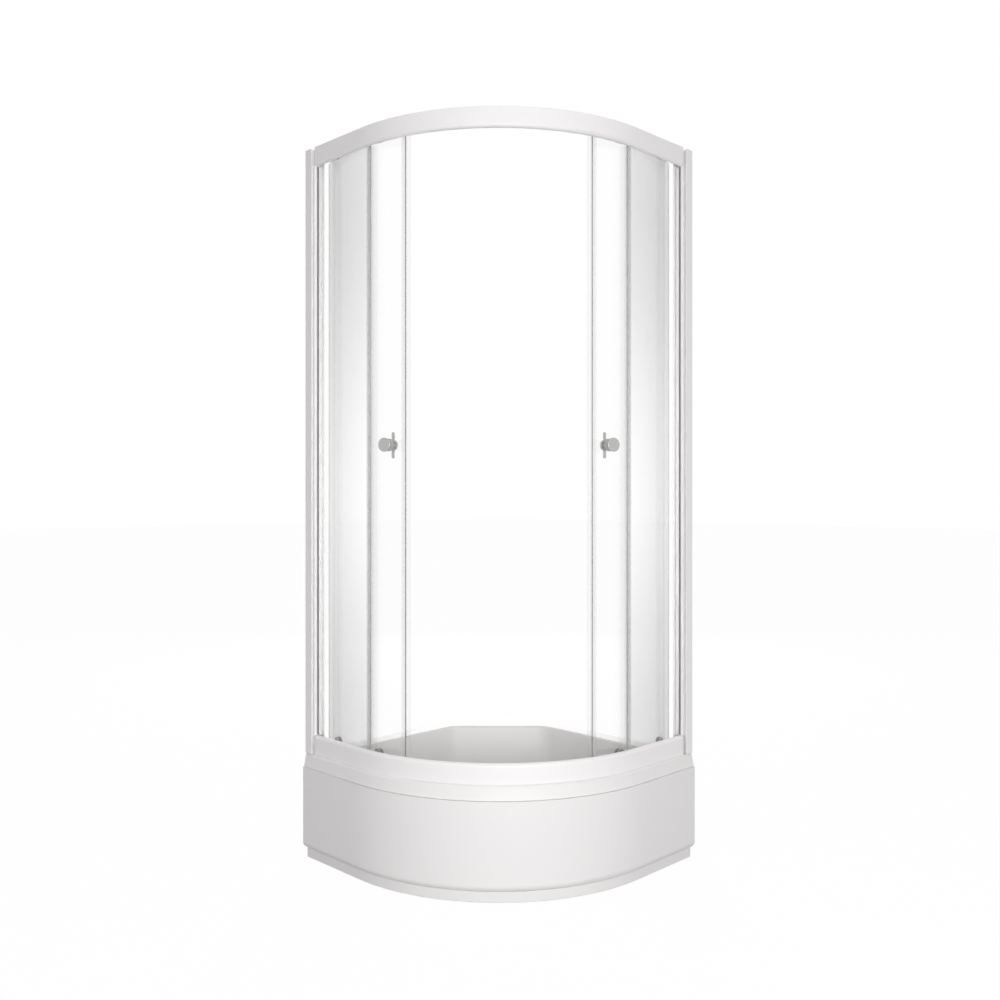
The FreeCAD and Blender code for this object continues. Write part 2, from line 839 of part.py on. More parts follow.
def build_wall_channels():
    body = new_body("channel_body")
    wall = S.channel_wall
    depth = S.channel_depth
    outline = [
        (channel_outside, 0),
        (channel_outside, depth),
        (channel_outside - wall, depth),
        (channel_outside - wall, wall),
        (channel_inside + wall, wall),
        (channel_inside + wall, depth),
        (channel_inside, depth),
        (channel_inside, 0),
    ]
    profile = sketch(body, "channel_profile", "XY_Plane", outline, offset=rim)
    pad(body, "channel_length", profile, channel_height)
    middle = (channel_outside + channel_inside) / 2
    holes = [(middle, height) for height in fixing_heights]
    drawn = ring_sketch(body, "wall_holes", "XZ_Plane", holes, S.channel_hole_radius)
    pocket(body, "wall_hole_cut", drawn, wall * 3)
    holes = [(S.screw_place, height) for height in fixing_heights]
    radius = S.screw_radius + S.screw_play
    drawn = ring_sketch(body, "post_screw_holes", "YZ_Plane", holes, radius, channel_inside)
    pocket(body, "post_screw_cut", drawn, wall * 3)
    keep_pair(body, "wall_channel", CORNER)


def build_side_posts():
    body = new_body("post_body")
    wall = S.post_wall
    outside = channel_outside - S.channel_wall - S.post_play
    inside = channel_inside + S.channel_wall + S.post_play
    slide = [
        (outside, post_start),
        (outside, post_step),
        (inside, post_step),
        (inside, post_start),
        (inside + wall, post_start),
        (inside + wall, post_step - wall),
        (outside - wall, post_step - wall),
        (outside - wall, post_start),
    ]
    profile = sketch(body, "post_slide_profile", "XY_Plane", slide, offset=rim)
    pad(body, "post_slide", profile, channel_height)
    reach = S.gasket_wall + S.gasket_play
    groove_floor = post_step + S.post_groove_floor
    neck = [
        (face, post_step),
        (face, post_end),
        (panel_outside + reach, post_end),
        (panel_outside + reach, groove_floor),
        (panel_inside - reach, groove_floor),
        (panel_inside - reach, post_end),
        (face - S.post_neck, post_end),
        (face - S.post_neck, post_step),
    ]
    profile = sketch(body, "post_neck_profile", "XY_Plane", neck, offset=sill)
    pad(body, "post_neck_length", profile, head - sill)
    holes = [(S.screw_place, height) for height in fixing_heights]
    radius = S.screw_radius + S.screw_play
    drawn = ring_sketch(body, "post_thread_holes", "YZ_Plane", holes, radius, inside)
    pocket(body, "post_thread_cut", drawn, wall * 3)
    keep_pair(body, "side_post", CORNER)


def build_post_screws():
    screws = []
    for index, height in enumerate(fixing_heights):
        shank = S.screw_head_height + S.screw_length
        screw = turned(f"post_screw_{index}", [
            (0, 0),
            (0, S.screw_head_radius),
            (S.screw_head_height, S.screw_head_radius),
            (S.screw_head_height, S.screw_radius),
            (shank, S.screw_radius),
            (shank, 0),
        ])
        head_start = channel_inside - S.screw_head_height
        screw.Placement = CORNER * moved(head_start.number, S.screw_place.number, height.number)
        screws += [screw, mirrored(f"post_screw_twin_{index}", screw)]
    keep(group("screw_group", screws), "post_screws", FreeCAD.Placement())


# Fixed glass: its gasket in the post, the flat pane, and the finned seal on its free edge

gasket_back = post_step + S.post_groove_floor + S.gasket_play
gasket_end = post_end + S.gasket_flap
panel_start = gasket_back + S.gasket_seat


def build_post_gaskets():
    body = new_body("gasket_body")
    outside = panel_outside + S.gasket_wall
    inside = panel_inside - S.gasket_wall
    outline = [
        (outside, gasket_back),
        (outside, gasket_end),
        (panel_outside, gasket_end),
        (panel_outside, panel_start),
        (panel_inside, panel_start),
        (panel_inside, gasket_end),
        (inside, gasket_end),
        (inside, gasket_back),
    ]
    low = sill + S.seal_rail_gap
    profile = sketch(body, "gasket_profile", "XY_Plane", outline, offset=low)
    pad(body, "gasket_length", profile, head - S.seal_rail_gap - low)
    keep_pair(body, "post_gasket", CORNER)


def build_fixed_panels():
    floor = S.rail_height - S.groove_depth + S.panel_end_play
    upright = (rim + floor, top - floor)
    pane = box("pane", (panel_inside, panel_outside), (panel_start, panel_end), upright)
    pane.Placement = CORNER * pane.Placement
    keep_pair(pane, "fixed_panel", pane.Placement)


def build_panel_seals():
    body = new_body("panel_seal_body")
    outside = panel_outside + S.seal_wall
    inside = panel_inside - S.seal_wall
    edge, nose = panel_nose - S.seal_wall, panel_nose
    start = nose - S.panel_seal_grip
    outline = [
        (outside, start),
        (outside, nose),
        (inside + S.fin_thickness, nose),
        (inside + S.fin_thickness, nose + S.panel_seal_fin),
        (inside, nose + S.panel_seal_fin),
        (inside, start),
        (panel_inside, start),
        (panel_inside, edge),
        (panel_outside, edge),
        (panel_outside, start),
    ]
    low = sill + S.seal_rail_gap
    profile = sketch(body, "panel_seal_profile", "XY_Plane", outline, offset=low)
    pad(body, "panel_seal_length", profile, head - S.seal_rail_gap - low)
    keep_pair(body, "panel_seal", CORNER)


# Doors. Places on them are measured along the glass from the closing line on the diagonal.

blade_end = S.closing_gap + S.lead_blade
glass_lead = blade_end + S.seal_wall
glass_trail = glass_lead + S.door_width
runners = {"lead": S.lead_runner, "trail": glass_trail - S.trail_runner_inset}


# Door travel. The runners follow the rail's curve and then its straight. One upright pole stands
# for that path: the centre of the circle through three points of the runners' line.

def track_point(reach):
    """Point of the runners' line, reach along it from the start of the curve."""
    radius, centre = door_middle.number, straight.number
    if reach < 0:
        return FreeCAD.Vector(centre + radius, centre + reach, 0)
    turn = reach / radius
    return FreeCAD.Vector(centre + radius * math.cos(turn), centre + radius * math.sin(turn), 0)


def door_swing(travel):
    """The pole, the turn about it in degrees, and the open door's place, for a travel along the track."""
    length = (runners["trail"] - runners["lead"]).number + travel
    start = half_curve - runners["lead"].number
    shares = (S.pole_share.number, 0.5, 1 - S.pole_share.number)
    points = [track_point(start - length * share) for share in shares]
    pole = Part.Circle(*points).Center
    turn = math.degrees(travel / points[0].distanceToPoint(pole))
    return pole, turn, moved(*pole, -turn) * moved(*-pole)


# An open door stops beside the wall channel, or earlier if its knob comes near the fixed pane's seal.
half_curve = math.pi / 4 * door_middle.number
trail_end = glass_trail + S.seal_wall
park_line = S.channel_depth + S.door_park_gap
door_travel = half_curve + (straight - park_line - trail_end).number
for trial in range(SWING_TRIALS):
    trail_corner = door_swing(door_travel)[2].multVec(track_point(half_curve - trail_end.number))
    door_travel += trail_corner.y - park_line.number
knob_line = panel_nose + S.panel_seal_fin + S.knob_panel_gap + S.knob_cap_radius
knob_travel = half_curve - (knob_line - straight + S.knob_place).number
door_travel = min(door_travel, knob_travel)
pole, door_turn, swing_back = door_swing(door_travel)
OPEN = swing_back * moved(straight.number, straight.number, 0)
DOOR = CORNER * OPEN
print("pole", CORNER.multVec(pole), "turn", door_turn, "travel", door_travel)


# Door pieces, in the frame of the closed door: its origin is the centre of the curve

def bearing(along):
    """Direction, in degrees, of a place measured along the door from the closing line."""
    return EIGHTH_TURN - math.degrees(sized(along).number / door_middle.number)


def seat(along, radius, height, inward=False):
    """Frame on the door whose X points out through the glass, or in."""
    turn = bearing(along)
    reach = sized(radius).number
    x, y = reach * math.cos(math.radians(turn)), reach * math.sin(math.radians(turn))
    return moved(x, y, sized(height).number, turn + HALF_TURN * inward)


def sector(name, radii, along, heights):
    """Curved slab between two radii, two places along the door and two heights."""
    angle = (sized(along[1]) - along[0]) / door_middle * HALF_TURN / Size(math.pi, "pi")
    height = heights[1] - heights[0]
    place = moved(0, 0, heights[0].number, bearing(along[1]))
    outer = cylinder(f"{name}_outer", radii[1], height, place)
    bind(outer, Angle=angle)
    return cut(name, outer, cylinder(f"{name}_inner", radii[0], height, place))


def slab(name, along, radii, width, heights):
    """Flat block square to the glass."""
    made = doc.addObject("Part::Box", name)
    bind(made, Length=radii[1] - radii[0], Width=width, Height=heights[1] - heights[0])
    made.Placement = seat(along, radii[0], heights[0]) * moved(0, -width.number / 2, 0)
    return made


def spindle(name, along, radii, radius, height):
    """Round bar through or beside the glass."""
    return cylinder(name, radius, radii[1] - radii[0], seat(along, radii[0], height) * LYING)


bolt_height = door_bottom + S.bolt_rise
bore_radii = (door_inside - S.glass_thickness, door_outside + S.glass_thickness)
handle_hole = S.handle_screw_radius + S.handle_hole_play


def build_door_glass():
    along = (glass_lead, glass_trail)
    pane = sector("door_pane", (door_inside, door_outside), along, (door_bottom, door_top))
    holes = [spindle("handle_hole", S.knob_place, bore_radii, handle_hole, S.knob_height)]
    for name, along in runners.items():
        radius = S.bolt_radius + S.bolt_play
        holes.append(spindle(f"{name}_bolt_hole", along, bore_radii, radius, bolt_height))
    keep_pair(cut("drilled_pane", pane, group("door_holes", holes)), "door_glass", DOOR)


def build_door_seals():
    heights = (door_bottom + S.door_seal_gap, door_top - S.door_seal_gap)
    grip_radii = (door_inside - S.seal_wall, door_outside + S.seal_wall)
    pane_radii = (door_inside, door_outside)
    lead_end = blade_end + S.lead_grip
    blade = sector("lead_blade_piece", pane_radii, (S.closing_gap, blade_end), heights)
    grip = sector("lead_grip_piece", grip_radii, (blade_end, lead_end), heights)
    slot = sector("lead_slot", pane_radii, (glass_lead, lead_end), heights)
    lead = cut("lead_seal_piece", fused("lead_seal_blank", [blade, grip]), slot)
    keep_pair(lead, "door_lead_seal", DOOR)

    trail_start = trail_end - S.trail_grip
    grip = sector("trail_grip_piece", grip_radii, (trail_start, trail_end), heights)
    slot = sector("trail_slot", pane_radii, (trail_start, glass_trail), heights)
    keep_pair(cut("trail_seal_piece", grip, slot), "door_trail_seal", DOOR)


# Handle: a knob and a rosette over a slim upright bar, held by a screw from inside

bar_centre = seat(S.knob_place, door_outside, S.knob_height)


def build_handle_bar():
    body = new_body("bar_body")
    half = S.bar_width / 2
    tip = S.bar_length / 2
    end = tip - half
    outline = [(half, -end), (half, end), (0, tip), (-half, end), (-half, -end), (0, -tip)]
    upper, lower = (0, end), (0, -end)
    centres = {1: upper, 2: upper, 4: lower, 5: lower}
    profile = sketch(body, "bar_outline", "YZ_Plane", outline, centres)
    pad(body, "bar_plate", profile, S.bar_thickness)
    hole = ring_sketch(body, "bar_hole", "YZ_Plane", [(0, 0)], handle_hole)
    pocket(body, "bar_hole_cut", hole, S.bar_thickness * 3)
    keep_pair(body, "handle_bar", DOOR * bar_centre)


def build_knobs():
    bore = S.handle_screw_radius + S.handle_play
    slot_half = S.bar_width / 2 + S.handle_play
    rosette = turned("rosette_body", [
        (0, handle_hole),
        (0, S.rosette_radius),
        (S.rosette_thickness - S.knob_edge, S.rosette_radius),
        (S.rosette_thickness, S.rosette_radius - S.knob_edge),
        (S.rosette_thickness, handle_hole),
    ], {2: (S.rosette_thickness - S.knob_edge, S.rosette_radius - S.knob_edge)})
    depth = S.bar_thickness + S.handle_play
    slot = box("rosette_slot", (0, depth), (-slot_half, slot_half), (-S.bar_length / 2, S.bar_length / 2))
    keep_pair(cut("slotted_rosette", rosette, slot), "knob_rosette", DOOR * bar_centre)

    cap_back = S.knob_reach - S.knob_cap_thickness
    back = cap_back - S.knob_length
    edge = S.knob_edge
    knob = turned("knob_body_turned", [
        (S.rosette_thickness, bore),
        (S.rosette_thickness, S.knob_neck_radius),
        (back, S.knob_neck_radius),
        (back, S.knob_radius - edge),
        (back + edge, S.knob_radius),
        (cap_back, S.knob_radius),
        (cap_back, 0),
        (S.rosette_thickness + S.handle_screw_depth, 0),
        (S.rosette_thickness + S.handle_screw_depth, bore),
    ], {3: (back + edge, S.knob_radius - edge)})
    keep_pair(knob, "knob_body", DOOR * bar_centre)

    cap = turned("knob_cap_turned", [
        (cap_back, 0),
        (cap_back, S.knob_cap_radius - edge),
        (cap_back + edge, S.knob_cap_radius),
        (S.knob_reach - edge, S.knob_cap_radius),
        (S.knob_reach, S.knob_cap_radius - edge),
        (S.knob_reach, 0),
    ], {
        1: (cap_back + edge, S.knob_cap_radius - edge),
        3: (S.knob_reach - edge, S.knob_cap_radius - edge),
    })
    keep_pair(cap, "knob_cap", DOOR * bar_centre)

    reach = S.handle_screw_head + S.carrier_gap + S.glass_thickness + S.rosette_thickness
    end = reach + S.handle_screw_depth - S.handle_play
    screw = turned("knob_screw_turned", [
        (0, 0),
        (0, S.handle_screw_head_radius - edge),
        (edge, S.handle_screw_head_radius),
        (S.handle_screw_head, S.handle_screw_head_radius),
        (S.handle_screw_head, S.handle_screw_radius),
        (end, S.handle_screw_radius),
        (end, 0),
    ], {1: (edge, S.handle_screw_head_radius - edge)})
    start = door_inside - S.carrier_gap - S.handle_screw_head
    keep_pair(screw, "knob_screw", DOOR * seat(S.knob_place, start, S.knob_height))


# Top hangers grip the edge of the door glass and carry a roller on the rail's inner flange

def build_hangers():
    hangers = []
    half_neck = S.neck_thickness / 2
    axle_end = door_middle - half_neck - S.wheel_play - S.top_wheel_width
    grip_radii = (door_inside - S.clamp_wall, door_outside + S.clamp_wall)
    slot_radii = (door_inside - S.clamp_play, door_outside + S.clamp_play)
    low = door_top - S.clamp_drop
    high = door_top + S.clamp_roof
    for name, along in runners.items():
        clamp = slab(f"{name}_clamp", along, grip_radii, S.clamp_width, (low, high))
        neck_radii = (door_middle - half_neck, door_middle + half_neck)
        neck_heights = (door_top + S.clamp_play, top_axle + S.neck_head)
        neck = slab(f"{name}_neck", along, neck_radii, S.neck_width, neck_heights)
        axle = spindle(f"{name}_axle", along, (axle_end, door_middle), S.axle_radius, top_axle)
        blank = fused(f"{name}_hanger_blank", [clamp, neck, axle])
        span = (along - S.clamp_width, along + S.clamp_width)
        slot = sector(f"{name}_slot", slot_radii, span, (low, door_top + S.clamp_play))
        hangers.append(cut(f"{name}_hanger", blank, slot))
    keep_pair(group("hanger_pair", hangers), "top_hangers", DOOR)


# Bottom carriers are bolted through the glass and hold a roller under its edge

def build_carriers():
    carriers, caps = [], []
    back = door_inside - S.carrier_gap
    plate_radii = (back - S.carrier_thickness, back)
    axle_end = back + S.wheel_play + S.bottom_wheel_width
    edge = S.cap_edge
    for name, along in runners.items():
        heights = (bottom_axle - S.carrier_foot, bolt_height)
        plate = slab(f"{name}_plate", along, plate_radii, S.carrier_width, heights)
        disc = spindle(f"{name}_disc", along, plate_radii, S.cap_radius, bolt_height)
        axle = spindle(f"{name}_stub", along, (plate_radii[0], axle_end), S.axle_radius, bottom_axle)
        carriers.append(fused(f"{name}_carrier", [plate, disc, axle]))
        shank = S.glass_thickness + S.carrier_gap + S.cap_gap
        crown = shank + S.cap_thickness
        cap = turned(f"{name}_cap", [
            (0, 0),
            (0, S.bolt_radius),
            (shank, S.bolt_radius),
            (shank, S.cap_radius),
            (crown - edge, S.cap_radius),
            (crown, S.cap_radius - edge),
            (crown, 0),
        ], {4: (crown - edge, S.cap_radius - edge)})
        cap.Placement = seat(along, back, bolt_height)
        caps.append(cap)
    keep_pair(group("carrier_pair", carriers), "bottom_carriers", DOOR)
    keep_pair(group("cap_pair", caps), "carrier_caps", DOOR)


# Rollers with two treads; each turns on its own axle

def roller(name, width):
    chamfer = S.wheel_chamfer
    tread = S.wheel_radius
    middle = width / 2
    bore = S.axle_radius + S.axle_play
    return turned(name, [
        (0, bore),
        (0, tread - chamfer),
        (chamfer, tread),
        (middle - S.wheel_groove, tread),
        (middle - S.wheel_groove, tread - S.wheel_groove),
        (middle + S.wheel_groove, tread - S.wheel_groove),
        (middle + S.wheel_groove, tread),
        (width - chamfer, tread),
        (width, tread - chamfer),
        (width, bore),
    ])


def build_rollers():
    top_start = door_middle - S.neck_thickness / 2 - S.wheel_play
    bottom_start = door_inside - S.carrier_gap + S.wheel_play
    for name, along in runners.items():
        upper = roller(f"top_{name}_roller", S.top_wheel_width)
        upper_seat = DOOR * seat(along, top_start, top_axle, inward=True)
        keep_pair(upper, f"top_{name}_wheel", upper_seat)
        lower = roller(f"bottom_{name}_roller", S.bottom_wheel_width)
        lower_seat = DOOR * seat(along, bottom_start, bottom_axle)
        keep_pair(lower, f"bottom_{name}_wheel", lower_seat)


# Rubber stops on the top rail's flange, just behind the trailing rollers of the open doors

def build_stops():
    wheel = OPEN * seat(runners["trail"], door_middle - S.top_wheel_width / 2, top_axle)
    front = sized(wheel.Base.y) - S.wheel_radius - S.stop_gap
    across = (face - hanger_reach, face - hanger_edge)
    heights = (hanger_track, hanger_track + S.stop_height)
    stop = box("stop_block", across, (front - S.stop_length, front), heights)
    stop.Placement = CORNER * stop.Placement
    keep(group("stop_pair", [stop, mirrored("stop_twin", stop)]), "door_stops", FreeCAD.Placement())


build_tray()
build_apron()
build_apron_clips()
build_frame_and_feet()
build_waste()
build_bottom_rail()
build_top_rail()
build_wall_channels()
build_side_posts()
build_post_screws()
build_post_gaskets()
build_fixed_panels()
build_panel_seals()
build_door_glass()
build_door_seals()
build_handle_bar()
build_knobs()
build_hangers()
build_carriers()
build_rollers()
build_stops()
doc.recompute()

for made in doc.Objects:
    if "Invalid" in made.State or "Error" in made.State:
        raise RuntimeError(f"{made.Label} failed: {made.State}")
for label, node in NODES.items():
    if node.Shape.isNull() or not node.Shape.isValid():
        raise RuntimeError(f"{label} has no valid shape")

os.makedirs("parts", exist_ok=True)
for label, node in NODES.items():
    node.Shape.exportStep(f"parts/{label}.step")
print(len(NODES), "nodes")
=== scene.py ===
import math

import bmesh
import bpy
from mathutils import Matrix, Vector


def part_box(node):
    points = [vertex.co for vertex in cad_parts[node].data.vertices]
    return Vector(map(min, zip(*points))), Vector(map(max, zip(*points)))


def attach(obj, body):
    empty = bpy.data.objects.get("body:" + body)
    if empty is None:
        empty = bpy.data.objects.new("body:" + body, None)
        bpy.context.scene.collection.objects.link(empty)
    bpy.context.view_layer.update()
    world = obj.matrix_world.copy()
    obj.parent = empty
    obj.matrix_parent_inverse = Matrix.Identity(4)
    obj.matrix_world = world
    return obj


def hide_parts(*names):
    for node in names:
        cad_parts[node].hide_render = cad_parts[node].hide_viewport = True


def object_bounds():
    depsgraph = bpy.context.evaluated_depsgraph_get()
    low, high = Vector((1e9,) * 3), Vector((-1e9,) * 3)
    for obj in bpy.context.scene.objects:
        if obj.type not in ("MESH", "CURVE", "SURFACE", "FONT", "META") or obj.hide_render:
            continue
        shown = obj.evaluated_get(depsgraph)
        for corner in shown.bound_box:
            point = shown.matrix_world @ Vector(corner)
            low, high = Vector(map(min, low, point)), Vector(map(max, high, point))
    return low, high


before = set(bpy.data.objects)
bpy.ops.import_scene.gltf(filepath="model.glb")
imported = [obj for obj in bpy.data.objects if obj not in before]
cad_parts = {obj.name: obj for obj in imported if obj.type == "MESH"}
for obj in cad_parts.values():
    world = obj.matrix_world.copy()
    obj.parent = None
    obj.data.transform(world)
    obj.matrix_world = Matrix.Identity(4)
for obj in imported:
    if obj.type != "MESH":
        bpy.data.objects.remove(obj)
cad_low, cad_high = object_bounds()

# Support frame: square steel tubes welded into a carrier under the basin and zinc plated.
# Lock nuts hold its levelling rods, and each rod ends in a moulded foot.
scene = bpy.context.scene
SIDES = ("left", "right")
GRAIN_HEIGHT = 0.0004


def add_node(tree, kind, **values):
    """One node; a value goes to the input of that name, or else to the node's own setting."""
    node = tree.nodes.new(kind)
    for key, value in values.items():
        named = [socket for socket in node.inputs if socket.name.lower() == key.replace("_", " ")]
        if named:
            named[0].default_value = value
        else:
            setattr(node, key, value)
    return node


def emptied(owner):
    """Node tree of a material or world with nothing in it; returns its link and add functions."""
    owner.use_nodes = True
    tree = owner.node_tree
    tree.nodes.clear()

    def add(kind, **values):
        return add_node(tree, kind, **values)

    return tree.links.new, add


def make_grain_group():
    """Cloudy colour, uneven gloss and a fine grain, as any moulded, plated or painted face has."""
    tree = bpy.data.node_groups.new("surface_grain", "ShaderNodeTree")
    for name, kind in (
        ("Color", "NodeSocketColor"),
        ("Cloud", "NodeSocketFloat"),
        ("Cloud Size", "NodeSocketFloat"),
        ("Gloss", "NodeSocketFloat"),
        ("Gloss Change", "NodeSocketFloat"),
        ("Grain Size", "NodeSocketFloat"),
    ):
        tree.interface.new_socket(name, in_out="INPUT", socket_type=kind)
    for name, kind in (
        ("Color", "NodeSocketColor"),
        ("Roughness", "NodeSocketFloat"),
        ("Height", "NodeSocketFloat"),
    ):
        tree.interface.new_socket(name, in_out="OUTPUT", socket_type=kind)
    link = tree.links.new
    entry = tree.nodes.new("NodeGroupInput")
    leave = tree.nodes.new("NodeGroupOutput")
    place = tree.nodes.new("ShaderNodeTexCoord")

    # Noise runs from 0 to 1; twice that less 1 makes as much of the cloud lighter as darker.
    cloud = add_node(tree, "ShaderNodeTexNoise", detail=4.0, roughness=0.6)
    link(place.outputs["Object"], cloud.inputs["Vector"])
    link(entry.outputs["Cloud Size"], cloud.inputs["Scale"])
    centred = add_node(tree, "ShaderNodeMath", operation="MULTIPLY_ADD")
    centred.inputs[1].default_value = 2.0
    centred.inputs[2].default_value = -1.0
    link(cloud.outputs["Fac"], centred.inputs[0])
    shade = add_node(tree, "ShaderNodeMath", operation="MULTIPLY_ADD")
    shade.inputs[2].default_value = 1.0
    link(centred.outputs[0], shade.inputs[0])
    link(entry.outputs["Cloud"], shade.inputs[1])
    tint = add_node(tree, "ShaderNodeVectorMath", operation="SCALE")
    link(entry.outputs["Color"], tint.inputs[0])
    link(shade.outputs[0], tint.inputs["Scale"])
    link(tint.outputs["Vector"], leave.inputs["Color"])

    rub = add_node(tree, "ShaderNodeTexNoise", scale=19.0, detail=5.0, roughness=0.65)
    link(place.outputs["Object"], rub.inputs["Vector"])
    uneven = add_node(tree, "ShaderNodeMath", operation="MULTIPLY_ADD")
    link(rub.outputs["Fac"], uneven.inputs[0])
    link(entry.outputs["Gloss Change"], uneven.inputs[1])
    link(entry.outputs["Gloss"], uneven.inputs[2])
    link(uneven.outputs[0], leave.inputs["Roughness"])

    grain = add_node(tree, "ShaderNodeTexNoise", detail=2.0, roughness=0.5)
    link(place.outputs["Object"], grain.inputs["Vector"])
    link(entry.outputs["Grain Size"], grain.inputs["Scale"])
    link(grain.outputs["Fac"], leave.inputs["Height"])
    return tree


grain_group = make_grain_group()


def grained(name, color, gloss, cloud=0.02, cloud_size=4.0, gloss_change=0.08, grain_size=900.0,
            grain_depth=0.05, edge=0.0, **shader):
    """Finish with the shared grain; an edge radius softens the corners that catch the light."""
    material = bpy.data.materials.new(name)
    link, add = emptied(material)
    out = add("ShaderNodeOutputMaterial")
    surface = add("ShaderNodeBsdfPrincipled", **shader)
    grain = add("ShaderNodeGroup", node_tree=grain_group)
    for key, value in (
        ("Color", (*color, 1.0)),
        ("Cloud", cloud),
        ("Cloud Size", cloud_size),
        ("Gloss", gloss),
        ("Gloss Change", gloss_change),
        ("Grain Size", grain_size),
    ):
        grain.inputs[key].default_value = value
    bump = add("ShaderNodeBump", strength=grain_depth, distance=GRAIN_HEIGHT)
    link(grain.outputs["Height"], bump.inputs["Height"])
    if edge:
        soften = add("ShaderNodeBevel", samples=4, radius=edge)
        link(soften.outputs["Normal"], bump.inputs["Normal"])
    link(grain.outputs["Color"], surface.inputs["Base Color"])
    link(grain.outputs["Roughness"], surface.inputs["Roughness"])
    link(bump.outputs["Normal"], surface.inputs["Normal"])
    link(surface.outputs["BSDF"], out.inputs["Surface"])
    return material


def dress(material, *nodes):
    """Give CAD nodes their finish."""
    for node in nodes:
        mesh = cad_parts[node].data
        mesh.materials.clear()
        mesh.materials.append(material)


def pair(*kinds):
    """Names of the left and right nodes of each kind."""
    return [f"{kind}_{side}" for kind in kinds for side in SIDES]


zinc_plate = grained(
    "zinc_plate", color=(0.56, 0.57, 0.58), gloss=0.3, cloud=0.16, cloud_size=60.0,
    gloss_change=0.2, grain_size=1400.0, grain_depth=0.08, edge=0.0008, metallic=1.0)
foot_plastic = grained(
    "foot_plastic", color=(0.03, 0.03, 0.032), gloss=0.5, grain_size=1600.0, grain_depth=0.2,
    edge=0.0008)
dress(zinc_plate, "support_frame", "foot_nuts", "apron_clips")
dress(foot_plastic, "foot_pads")

# Levelling rods: rolled steel studs with a coarse metric thread along their whole length, zinc
# plated. They turn in the frame's tubes and sit in the sockets of the feet.
THREAD_PITCH = 0.0015
THREAD_DEPTH = 0.0008
THREAD_RISES = (0.0, 0.4, 0.55, 0.95, 1.0)
THREAD_STEPS = 20
ROD_SPACING = 0.03
WELD_DISTANCE = 1e-5


def rod_places(node):
    """Foot, radius and length of each rod in the node, told apart by their place in plan."""
    rods = {}
    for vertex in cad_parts[node].data.vertices:
        near = [plan for plan in rods if (vertex.co.xy - Vector(plan)).length < ROD_SPACING]
        rods.setdefault(near[0] if near else tuple(vertex.co.xy), []).append(vertex.co)
    for corners in rods.values():
        low = Vector(min(axis) for axis in zip(*corners))
        high = Vector(max(axis) for axis in zip(*corners))
        foot = (low + high) / 2
        foot.z = low.z
        yield foot, (high.x - low.x) / 2, high.z - low.z


def thread(shape, foot, radius, length):
    """One turn of a thread's flanks, copied up a core that closes both ends."""
    core = radius - THREAD_DEPTH
    turns = int(length / THREAD_PITCH) - 1
    start = (length - (turns + 1) * THREAD_PITCH) / 2
    points = []
    for reach, rise in zip((core, radius, radius, core, core), THREAD_RISES):
        points.append(shape.verts.new(foot + Vector((reach, 0.0, start + rise * THREAD_PITCH))))
    flanks = [shape.edges.new(ends) for ends in zip(points, points[1:])]
    before = set(shape.faces)
    bmesh.ops.spin(shape, geom=points + flanks, cent=foot, axis=(0, 0, 1), angle=math.tau,
                   dvec=(0, 0, THREAD_PITCH / THREAD_STEPS), steps=THREAD_STEPS)
    one_turn = [face for face in shape.faces if face not in before]
    for step in range(1, turns):
        copy = bmesh.ops.duplicate(shape, geom=one_turn)["geom"]
        raised = [part for part in copy if isinstance(part, bmesh.types.BMVert)]
        bmesh.ops.translate(shape, vec=(0, 0, step * THREAD_PITCH), verts=raised)
    bmesh.ops.create_cone(shape, cap_ends=True, segments=THREAD_STEPS, radius1=core, radius2=core,
                          depth=length, matrix=Matrix.Translation(foot + Vector((0, 0, length / 2))))


def new_piece(name, shape, material):
    """Object in the scene from a finished shape."""
    mesh = bpy.data.meshes.new(name)
    shape.to_mesh(mesh)
    shape.free()
    mesh.materials.append(material)
    piece = bpy.data.objects.new(name, mesh)
    scene.collection.objects.link(piece)
    return piece


shape = bmesh.new()
for foot, radius, length in rod_places("foot_rods"):
    thread(shape, foot, radius, length)
bmesh.ops.remove_doubles(shape, verts=shape.verts, dist=WELD_DISTANCE)
bmesh.ops.recalc_face_normals(shape, faces=shape.faces)
threaded_rods = new_piece("threaded_rods", shape, zinc_plate)
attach(threaded_rods, "surround")
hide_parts("foot_rods")

# Waste: a moulded trap cup with its outlet under the basin floor, a plated flange seated on
# the floor, and a plated dome that lifts out for cleaning.
trap_plastic = grained(
    "trap_plastic", color=(0.72, 0.72, 0.71), gloss=0.45, grain_size=1200.0, grain_depth=0.1)
waste_chrome = grained(
    "waste_chrome", color=(0.74, 0.75, 0.76), gloss=0.06, cloud=0.01, gloss_change=0.06,
    grain_depth=0.01, edge=0.001, metallic=1.0)
dress(trap_plastic, "waste_trap")
dress(waste_chrome, "waste_flange", "waste_cover")

# Tray and apron: white sanitary acrylic sheet drawn over a mould, so the gloss is deep and
# slightly uneven and every corner is soft.
tray_acrylic = grained(
    "tray_acrylic", color=(0.80, 0.783, 0.781), gloss=0.44, cloud=0.006, cloud_size=2.5,
    gloss_change=0.06, grain_size=60.0, grain_depth=0.02, edge=0.002, specular_ior_level=0.28)
dress(tray_acrylic, "tray", "apron_panel")

